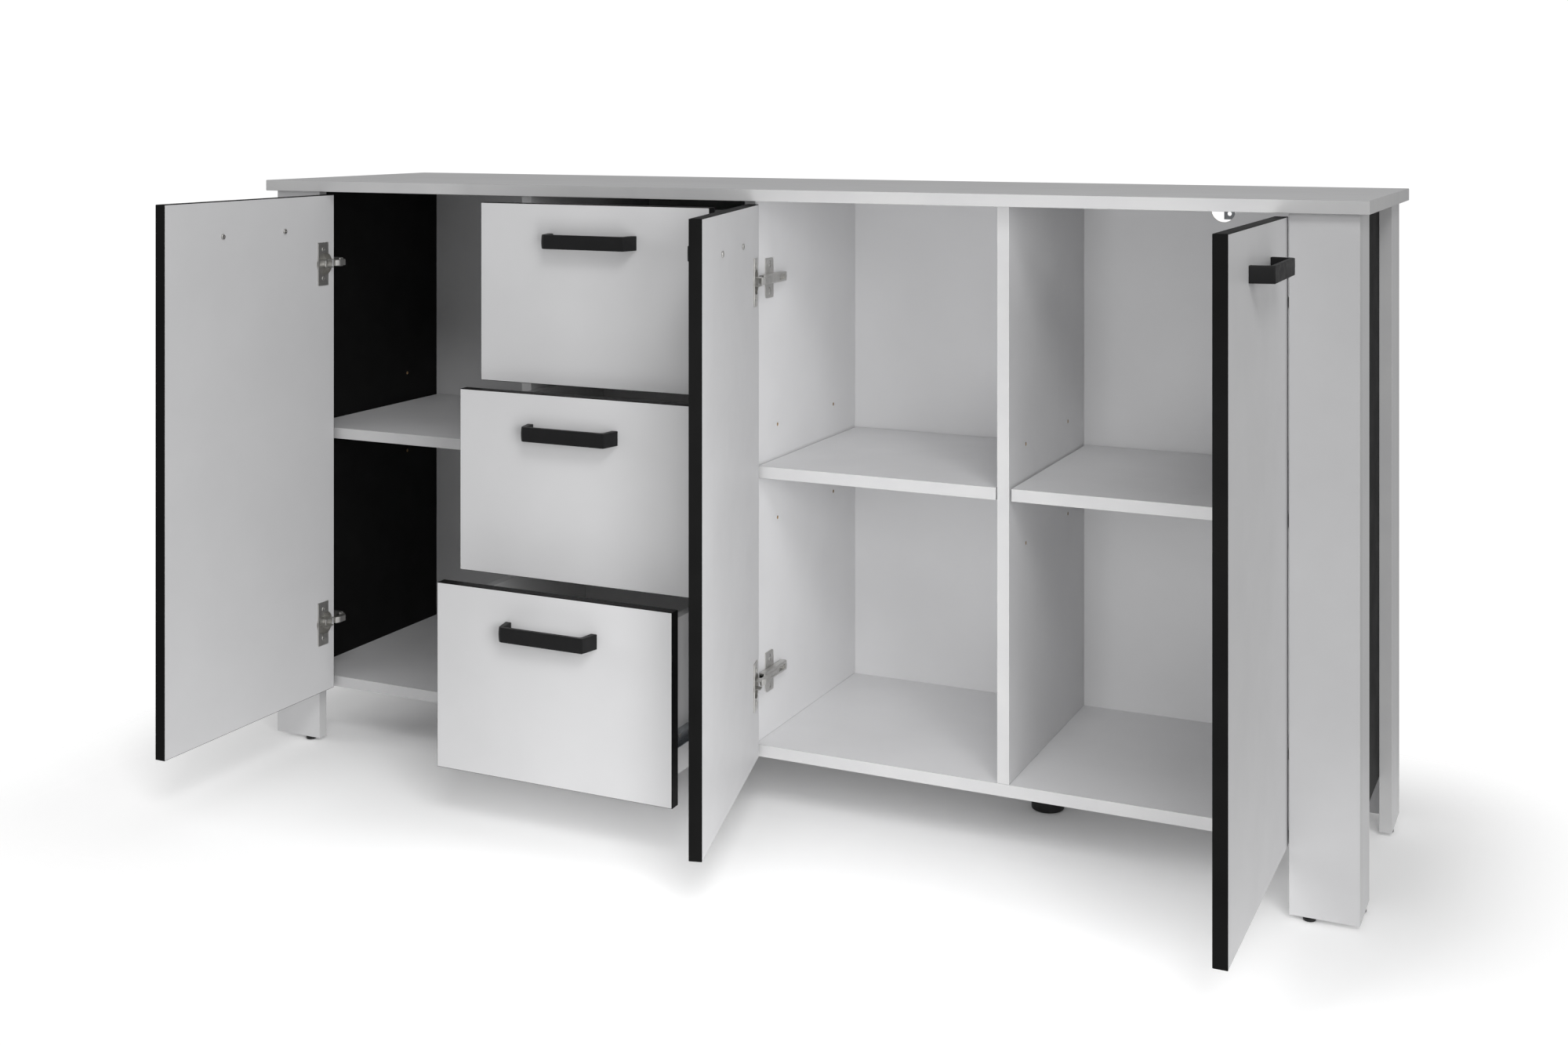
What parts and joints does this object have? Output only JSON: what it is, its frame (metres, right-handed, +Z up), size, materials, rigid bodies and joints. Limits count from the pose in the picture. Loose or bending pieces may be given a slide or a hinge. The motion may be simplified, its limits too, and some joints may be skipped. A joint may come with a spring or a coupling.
{
  "type": "sideboard buffet",
  "caption": "Low sideboard on corner legs with hinged doors over shelved bays and a column of drawers on telescopic runners, under one overhanging top.",
  "frame": {"origin": "on the floor, under the middle of the object's box in its rest pose, with doors and drawers open; the middle of the four corner legs is 166.5 mm behind it", "axes": "+Z up, the doors and drawers face -Y, +X to the right of a person who stands in front"},
  "size_m": [1.6, 0.727, 0.84],
  "materials": {
    "grey_board": "light grey melamine-faced particle board, satin, fine pore texture",
    "black_board": "black melamine-faced particle board, satin",
    "front_board": "light grey melamine-faced particle board with black ABS edge band",
    "drawer_board": "light grey melamine-faced particle board, 12 mm",
    "hardboard": "light grey lacquered hardboard, 3 mm",
    "black_metal": "matt black powder coat on die-cast zinc",
    "nickel_steel": "nickel-plated pressed steel",
    "zinc_steel": "zinc-plated steel, satin",
    "black_plastic": "black moulded plastic",
    "beech": "bare fluted beech"
  },
  "bodies": {
    "carcass": {"top_board": "grey_board", "bottom_board": "grey_board", "left_partition": "grey_board", "middle_partition": "grey_board", "right_partition": "grey_board", "left_shelf": "grey_board", "middle_shelf": "grey_board", "right_shelf": "grey_board", "front_left_leg": "grey_board", "front_right_leg": "grey_board", "rear_left_leg": "grey_board", "rear_right_leg": "grey_board", "left_side_panel": "black_board", "right_side_panel": "black_board", "back_panel": "hardboard", "leg_glides": "black_plastic", "centre_feet": "black_plastic", "shelf_pins": "nickel_steel", "hinge_arms": "nickel_steel", "hinge_plates": "nickel_steel", "wall_brackets": "zinc_steel", "drawer_rails": "zinc_steel", "back_panel_nails": "zinc_steel", "carcass_dowels": "beech"},
    "left_door": {"left_door_panel": "front_board", "left_door_handle": "black_metal", "left_door_handle_screws": "nickel_steel", "left_door_hinge_cups": "nickel_steel"},
    "middle_door": {"middle_door_panel": "front_board", "middle_door_handle": "black_metal", "middle_door_handle_screws": "nickel_steel", "middle_door_hinge_cups": "nickel_steel"},
    "right_door": {"right_door_panel": "front_board", "right_door_handle": "black_metal", "right_door_handle_screws": "nickel_steel", "right_door_hinge_cups": "nickel_steel"},
    "upper_drawer": {"upper_drawer_front": "front_board", "upper_drawer_left_side": "drawer_board", "upper_drawer_right_side": "drawer_board", "upper_drawer_back": "drawer_board", "upper_drawer_floor": "hardboard", "upper_drawer_handle": "black_metal", "upper_drawer_handle_screws": "nickel_steel", "upper_drawer_slides": "zinc_steel"},
    "middle_drawer": {"middle_drawer_front": "front_board", "middle_drawer_left_side": "drawer_board", "middle_drawer_right_side": "drawer_board", "middle_drawer_back": "drawer_board", "middle_drawer_floor": "hardboard", "middle_drawer_handle": "black_metal", "middle_drawer_handle_screws": "nickel_steel", "middle_drawer_slides": "zinc_steel"},
    "lower_drawer": {"lower_drawer_front": "front_board", "lower_drawer_left_side": "drawer_board", "lower_drawer_right_side": "drawer_board", "lower_drawer_back": "drawer_board", "lower_drawer_floor": "hardboard", "lower_drawer_handle": "black_metal", "lower_drawer_handle_screws": "nickel_steel", "lower_drawer_slides": "zinc_steel"}
  },
  "joints": [
    {"name": "left_door_swing", "type": "hinge", "parent": "carcass", "child": "left_door", "pos_m": [-0.7, -0.019, 0.45], "axis": [0, 0, 1], "range_deg": [-10, 90]},
    {"name": "middle_door_swing", "type": "hinge", "parent": "carcass", "child": "middle_door", "pos_m": [0.0065, -0.019, 0.45], "axis": [0, 0, 1], "range_deg": [-2, 75]},
    {"name": "right_door_swing", "type": "hinge", "parent": "carcass", "child": "right_door", "pos_m": [0.7, -0.019, 0.45], "axis": [0, 0, 1], "range_deg": [-90, 10]},
    {"name": "upper_drawer_slide", "type": "slide", "parent": "carcass", "child": "upper_drawer", "axis": [0, -1, 0], "range_m": [-0.098, 0.127]},
    {"name": "middle_drawer_slide", "type": "slide", "parent": "carcass", "child": "middle_drawer", "axis": [0, -1, 0], "range_m": [-0.147, 0.078]},
    {"name": "lower_drawer_slide", "type": "slide", "parent": "carcass", "child": "lower_drawer", "axis": [0, -1, 0], "range_m": [-0.199, 0.026]}
  ]
}
